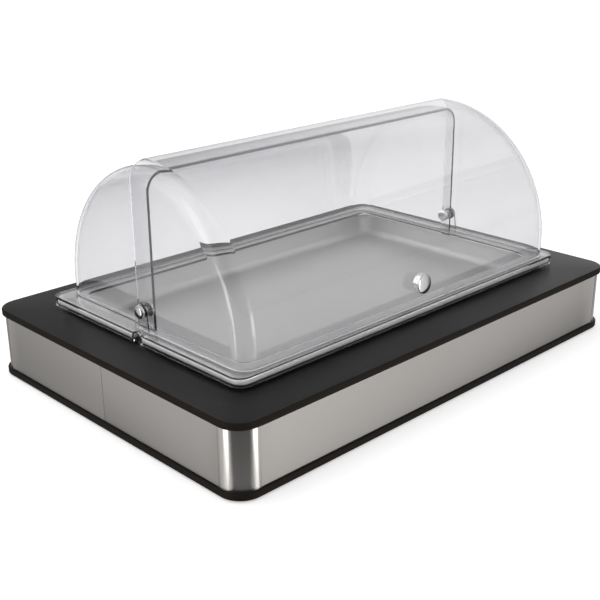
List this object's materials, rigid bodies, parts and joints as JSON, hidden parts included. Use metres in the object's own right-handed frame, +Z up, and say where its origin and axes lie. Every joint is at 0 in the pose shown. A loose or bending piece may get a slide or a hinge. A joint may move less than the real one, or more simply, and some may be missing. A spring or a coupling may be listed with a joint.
{
  "type": "buffet display case",
  "caption": "Cooled tabletop buffet display case: steel-banded base with dark plates, a drawn food tray and a clear half-round roll-top cover that rolls back by a knob.",
  "frame": {"origin": "middle of the footprint, on the surface that the feet stand on", "axes": "+X along the long side, -Y towards the knob side, +Z up"},
  "size_m": [0.632, 0.432, 0.278],
  "materials": {
    "dark_plate": "satin dark laminate",
    "band_steel": "fine horizontal brush",
    "plain_steel": "zinc plated",
    "rubber": "matt",
    "black_liner": "satin",
    "pack_shell": "smooth",
    "pack_plug": "smooth",
    "tray_steel": "satin drawn sheet",
    "clear_cover": "clear, polished",
    "clear_washer": "clear",
    "chrome": "polished"
  },
  "bodies": {
    "base": {"bottom_plate": "dark_plate", "corner_post_front_left": "plain_steel", "corner_post_front_right": "plain_steel", "corner_post_rear_left": "plain_steel", "corner_post_rear_right": "plain_steel", "foot_front_left": "rubber", "foot_front_right": "rubber", "foot_rear_left": "rubber", "foot_rear_right": "rubber", "insert_nuts": "plain_steel", "middle_post_front": "plain_steel", "middle_post_rear": "plain_steel", "seam_strip_left": "plain_steel", "seam_strip_right": "plain_steel", "side_band_front": "band_steel", "side_band_rear": "band_steel", "tie_screws": "plain_steel", "top_plate": "dark_plate", "well_liner": "black_liner"},
    "cooling_packs": {"cooling_pack_left": "pack_shell", "cooling_pack_right": "pack_shell", "pack_plug_left": "pack_plug", "pack_plug_right": "pack_plug"},
    "tray": {"food_tray": "tray_steel"},
    "rolltop": {"rolltop_frame": "clear_cover", "rear_shell": "clear_cover", "pivot_pin_left": "chrome", "pivot_pin_right": "chrome", "pivot_cap_left": "chrome", "pivot_cap_right": "chrome", "inner_cap_left": "chrome", "inner_cap_right": "chrome", "shell_spacer_left": "clear_washer", "shell_spacer_right": "clear_washer", "ear_washer_left": "clear_washer", "ear_washer_right": "clear_washer"},
    "rolling_front": {"front_shell": "clear_cover", "knob": "chrome", "knob_washer": "clear_cover", "knob_screw": "plain_steel"}
  },
  "joints": [
    {"name": "packs_lift", "type": "slide", "parent": "base", "child": "cooling_packs", "axis": [0, 0, 1], "range_m": [0, 0.075]},
    {"name": "tray_lift", "type": "slide", "parent": "cooling_packs", "child": "tray", "axis": [0, 0, 1], "range_m": [0, 0.06]},
    {"name": "rolltop_lift", "type": "slide", "parent": "tray", "child": "rolltop", "axis": [0, 0, 1], "range_m": [0, 0.05]},
    {"name": "front_roll", "type": "hinge", "parent": "rolltop", "child": "rolling_front", "pos_m": [0, 0, 0.1185], "axis": [-1, 0, 0], "range_deg": [0, 93]}
  ]
}
